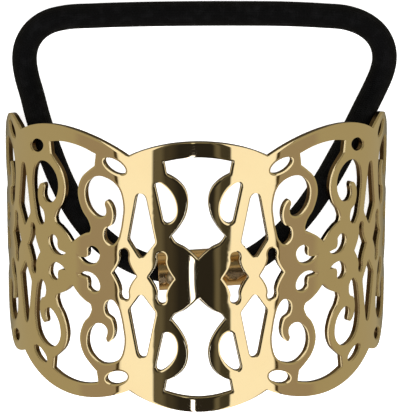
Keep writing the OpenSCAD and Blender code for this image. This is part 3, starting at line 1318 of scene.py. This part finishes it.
@dataclass
class Solder:
    """Fillet of solder between the tube and the inside of the plate, with a rounded cap."""

    place: TubePlace
    finish: Material
    length: float = 8.2
    width: float = 1.7
    shift: float = 1.5
    fillet: float = 0.32
    sink: float = 0.08
    dome: float = 0.3
    waist_lean: float = 1.2
    cap_facing: float = 0.3
    around: int = 72
    levels: int = 9
    # Rings of the cap, as shares of the way in from its rim.
    cap_steps: tuple[float, ...] = (0.0, 0.15, 0.4, 0.7, 0.92)
    name: str = "solder_joint"

    def outline(self) -> tuple[Array, Array]:
        """Round-ended outline of the solder's waist.

        Returns:
            Its points, and their outward directions.
        """
        out = unit_circle(self.around)
        spots = out * self.width / 2
        spots[:, 0] += (self.length - self.width) / 2 * np.sign(out[:, 0]) - self.shift
        return spots, out

    def build(self) -> Object:
        """Builds the solder.

        Returns:
            The solder as a plain mesh object.
        """
        spots, out = self.outline()
        size, shell = self.around, Shell()
        for share in np.linspace(0, 1, self.levels):
            at = spots + out * self.fillet * (2 * share - 1) ** 2
            foot = self.place.reach + np.sqrt(self.place.radius**2 - at[:, 1] ** 2) - self.sink
            head = np.sqrt(self.place.inner**2 - at[:, 0] ** 2) + self.sink
            lean = (1 - 2 * share) * self.waist_lean
            shell.add(extended(at, foot + (head - foot) * share), extended(out, lean))
        rim = shell.points[-1]
        for share in self.cap_steps:
            reach = share * (self.width / 2 + self.fillet)
            rise = self.dome * math.sqrt(1 - (1 - share) ** 2)
            facing = extended(out * (1 - share), self.cap_facing + share)
            shell.add(rim + extended(-out * reach, rise), facing)
        last = len(shell.points) - 1
        for i in range(last):
            if i != self.levels - 1:
                shell.strip(i * size, (i + 1) * size, size, turned=True)
        shell.faces.append(tuple(reversed(range(size))))
        shell.faces.append(tuple(last * size + k for k in range(size)))
        return self.place.object(self.name, shell, self.finish)


@dataclass
class Elastic:
    """Black hair elastic whose ends meet inside the bracket."""

    place: TubePlace
    finish: Material
    straight: float = 4.4
    diameter: float = 4.0
    end_gap: float = 0.6
    sides: int = 32
    step: float = 0.5
    fine_step: float = 0.1
    soften: int = 40
    name: str = "elastic_loop"
    line: Array = field(init=False)

    def route(self) -> Array:
        """The solid's own middle line: out of the tube, round the loop and back.

        Returns:
            Points in millimetres.
        """
        inner = self.end_gap / 2
        out = [self.place.middle(inner), self.place.middle(self.straight)]
        back = [self.place.middle(-self.straight), self.place.middle(-inner)]
        loop = [(x, y, z + self.diameter / 2) for x, y, z in ELASTIC_ROUTE]
        return np.array(out + loop + back)

    def smooth(self) -> Array:
        """Smooth middle line with even spacing.

        Returns:
            Points in millimetres.
        """
        rows = self.route()
        far = lengths(rows)
        slope = np.gradient(rows, far, axis=0)
        made = []
        for s in np.linspace(0, far[-1], int(far[-1] / self.fine_step)):
            i = min(int(np.searchsorted(far, s, side="right")) - 1, len(far) - 2)
            span = far[i + 1] - far[i]
            start, end = span * slope[i], span * slope[i + 1]
            made.append(curved((s - far[i]) / span, rows[i], rows[i + 1], start, end))
        fine = np.array(made)
        for _ in range(self.soften):
            fine[1:-1] = fine[1:-1] * 0.5 + (fine[:-2] + fine[2:]) * 0.25
        fine[:, 2] = np.maximum(fine[:, 2], self.diameter / 2)
        return spaced(fine, int(lengths(fine)[-1] / self.step), last=True)

    def build(self) -> Object:
        """Builds the cord.

        Returns:
            The elastic as a plain mesh object.
        """
        self.line = self.smooth()
        curve = bpy.data.curves.new(self.name + "_line", "CURVE")
        curve.dimensions = "3D"
        curve.twist_mode = "MINIMUM"
        spline = curve.splines.new("POLY")
        spline.points.add(len(self.line) - 1)
        spline.points.foreach_set("co", extended(self.line * MM, 1.0).ravel())
        values = {"Radius": self.diameter / 2 * MM, "Sides": self.sides, "Finish": self.finish}
        made = CordTree().applied(loose_object(self.name + "_line", curve), self.name, values)
        made.data.shade_smooth()
        self.unwrap(made.data)
        return made

    def unwrap(self, mesh: Mesh) -> None:
        """Gives the cord a UV map: turns round it, and millimetres along it.

        Args:
            mesh: The cord's mesh, ring by ring.
        """
        layer = mesh.uv_layers.new(name="UVMap")
        for face in mesh.polygons:
            spots = [mesh.loops[i].vertex_index for i in face.loop_indices]
            turns = [v % self.sides for v in spots]
            wraps = max(turns) - min(turns) > self.sides // 2 and len(spots) == 4
            for i, v, turn in zip(face.loop_indices, spots, turns):
                round_it = turn + self.sides if wraps and turn == 0 else turn
                layer.data[i].uv = (round_it / self.sides, (v // self.sides) * self.step)


@dataclass(frozen=True)
class PhotoCamera:
    """Camera that stands where the photograph was taken from."""

    focal_px: float = 3230.0
    distance: float = 500.0
    tilt: float = 19.65
    across: float = 0.62
    aim: float = 12.19
    yaw: float = 0.645
    frame_height: int = 412
    sensor: float = 36.0

    def build(self, sizes: CuffSizes) -> None:
        """Makes the camera and sets it as the scene's own.

        Args:
            sizes: The cuff's sizes; the camera is turned about the plate's axis.
        """
        data = bpy.data.cameras.new("photo_camera")
        data.sensor_width = self.sensor
        data.lens = self.focal_px * self.sensor / self.frame_height
        data.clip_start, data.clip_end = 0.01, 20.0
        made = loose_object("photo_camera", data)
        tilt = math.radians(self.tilt)
        forward = Vector((0, -math.sin(tilt), -math.cos(tilt)))
        up = Vector((0, math.cos(tilt), -math.sin(tilt)))
        right = forward.cross(up)
        place = Vector((self.across, self.aim, sizes.radius)) - forward * self.distance
        turn = Matrix.Rotation(-math.radians(self.yaw), 3, "Y")
        axis = Vector((0, 0, sizes.axis_height))
        spin = Matrix((turn @ right, turn @ up, turn @ -forward)).transposed()
        made.matrix_world = Matrix.Translation((turn @ place + axis) * MM) @ spin.to_4x4()
        bpy.context.scene.camera = made


@dataclass(frozen=True)
class SoftBox:
    """One light or dark panel of the studio, as a window of directions.

    turn is the angle round the plate's axis from straight up towards +X, in degrees; back and up
    are a direction's parts along +Y and +Z, None for any. bow is how far a panel's ends lean
    towards +X, in degrees, at bow_reach from its middle and beyond.
    """

    color: Triple
    turn: Pair | None = None
    turn_blur: float = 0.8
    back: Pair | None = (-2.0, 0.3)
    up: Pair | None = None
    blur: float = 0.03
    bow: float = 0.0
    bow_middle: float = -0.356
    bow_reach: float = 0.006

    def over(self, shader: Shader, below: object, turn: Signal, back: Signal, up: Signal) -> object:
        """Lays the panel over the colour below it.

        Args:
            shader: The world's shader.
            below: The colour without this panel.
            turn: Angle round the plate's axis.
            back: Direction along +Y.
            up: Direction along +Z.

        Returns:
            The colour with this panel.
        """
        if self.bow:
            off = (back - self.bow_middle) * (1 / self.bow_reach)
            turn = turn - (off * off).clamped() * self.bow
        strength: object = 1.0
        for signal, window, blur in (
            (turn, self.turn, self.turn_blur),
            (back, self.back, self.blur),
            (up, self.up, self.blur),
        ):
            if window is not None:
                strength = signal.window(*window, blur) * strength
        return shader.blend(strength, below, self.color)


# Colours of the panels, and how far the tall ones reach along the plate's axis.
CREAM: Triple = (1.03, 1.01, 0.99)
TAN: Triple = (0.32, 0.272, 0.215)
BROWN_EDGE: Triple = (0.06, 0.042, 0.02)
TALL: Pair = (-2.0, 0.42)
MIDDLE: Pair = (-2.0, -0.29)

# The panels as the gold reflects them, each laid over those before it.
SOFT_BOXES: tuple[SoftBox, ...] = (
    SoftBox((0.13, 0.125, 0.10), back=None, up=(-2.0, -0.85), blur=0.2),
    SoftBox((0.11, 0.115, 0.10), back=(0.38, 2.0), up=(0.0, 2.0), blur=0.1),
    SoftBox((0.022, 0.020, 0.018), (-26.5, 18.0), back=(-2.0, 0.2), blur=0.08),
    SoftBox((0.05, 0.044, 0.034), (-26.5, -13.0), 5.0),
    SoftBox((0.115, 0.104, 0.078), (-26.5, -20.0), 3.0),
    SoftBox((0.055, 0.05, 0.037), (9.5, 18.0), 1.5),
    SoftBox((0.13, 0.118, 0.09), (10.5, 13.4), 1.6),
    SoftBox(CREAM, (-48.5, -26.5), 1.4, TALL),
    SoftBox(CREAM, (17.2, 48.0), 1.4, TALL),
    SoftBox((0.05, 0.046, 0.034), (14.0, 17.9), 1.0, bow=2.0, bow_reach=0.0075),
    SoftBox(TAN, (49.0, 76.0), 5.0, MIDDLE),
    SoftBox(TAN, (-76.0, -49.0), 5.0, MIDDLE),
    SoftBox(BROWN_EDGE, (48.0, 50.0), 0.8, TALL),
    SoftBox(BROWN_EDGE, (-50.3, -48.3), 0.8, TALL),
    SoftBox((2.4, 2.6, 3.4), (-4.6, -2.2), 0.3, (-2.0, -0.335), blur=0.006, bow=1.0),
    SoftBox((0.9, 0.88, 0.8), (-4.6, -2.2), 1.0, (0.05, 0.3)),
)


@dataclass(frozen=True)
class Studio:
    """White floor, long panels all round as the gold reflects them, and one soft key light."""

    finish: Material
    reach: float = 3.0
    drop: float = 0.00002
    ambient: Triple = (0.37, 0.335, 0.24)
    key_power: float = 14.0
    key_size: float = 1.2
    key_place: Triple = (0.0, 0.15, 1.0)

    def surroundings(self) -> None:
        """Lights the scene from long panels that run along the plate's axis."""
        world = bpy.data.worlds.new("soft_boxes")
        bpy.context.scene.world = world
        world.use_nodes = True
        shader = Shader(world.node_tree)
        across, back, up = shader.axes(shader.node("ShaderNodeTexCoord").outputs["Generated"])
        turn = across.angle_to(up) * math.degrees(1.0)
        color: object = self.ambient
        for box in SOFT_BOXES:
            color = box.over(shader, color, turn, back, up)
        light = shader.node("ShaderNodeBackground", Color=color, Strength=1.0)
        shader.node("ShaderNodeOutputWorld", Surface=light.outputs[0])

    def key(self) -> None:
        """Large soft light straight above, kept out of the gold's reflections."""
        data = bpy.data.lights.new("soft_key", "AREA")
        data.shape, data.size, data.energy = "DISK", self.key_size, self.key_power
        made = loose_object("soft_key", data)
        made.location = self.key_place
        made.visible_glossy = False
        made.visible_camera = False

    def floor(self) -> None:
        """Flat round floor under the cuff."""
        mesh = bpy.data.meshes.new("studio_floor")
        shape = bmesh.new()
        bmesh.ops.create_circle(shape, cap_ends=True, segments=96, radius=self.reach)
        bmesh.ops.translate(shape, verts=shape.verts, vec=(0, 0, -self.drop))
        shape.to_mesh(mesh)
        shape.free()
        mesh.materials.append(self.finish)
        made = loose_object("studio_floor", mesh)
        made.visible_glossy = False

    def build(self) -> None:
        """Makes the floor and the lights."""
        self.surroundings()
        self.key()
        self.floor()
        bpy.context.scene.view_settings.view_transform = "Standard"


def gold(name: str, color: Triple, deep: Triple, roughness: float) -> Material:
    """Builds a gold of another colour and polish."""
    return PolishedGold(name, color, deep, roughness).material()


def main() -> None:
    """Builds the camera, the elastic, the plate, the tube, its solder and the studio."""
    logging.basicConfig(level=logging.INFO, format="%(message)s")
    sizes = CuffSizes()
    PhotoCamera().build(sizes)
    finishes = {
        Coat.FRONT: PolishedGold().material(),
        Coat.WORN_RIM: PolishedGold("worn_rim_gold", roughness=0.14).material(),
        # The walls are a much darker, browner copy of the gold, painted shade, and a little rough.
        Coat.WALL: gold("satin_edge_gold", (0.26, 0.17, 0.08), (0.18, 0.11, 0.05), 0.28),
        # The inside is a darker, more orange copy of the same gold: painted shade.
        Coat.BACK: gold("inner_gold", (0.66, 0.48, 0.24), (0.52, 0.36, 0.16), 0.25),
    }
    tube_gold = gold("warm_tube_gold", (0.92, 0.62, 0.29), (0.80, 0.48, 0.18), 0.18)
    dull_gold = gold("dull_solder", (0.88, 0.72, 0.48), (0.76, 0.58, 0.34), 0.45)
    place = TubePlace(sizes)
    elastic = Elastic(place, KnittedElastic().material())
    loop = elastic.build()
    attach(loop, "root")
    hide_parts("elastic")
    LOG.info("%s: %d faces", loop.name, len(loop.data.polygons))
    plate = PiercedPlate(sizes, finishes).build()
    for piece in (plate, Bracket(place, tube_gold).build(), Solder(place, dull_gold).build()):
        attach(piece, "root")
        LOG.info("%s: %d faces", piece.name, len(piece.data.polygons))
    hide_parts("cuff")
    Studio(PaleFloor().material()).build()


if __name__ == "__main__":
    main()
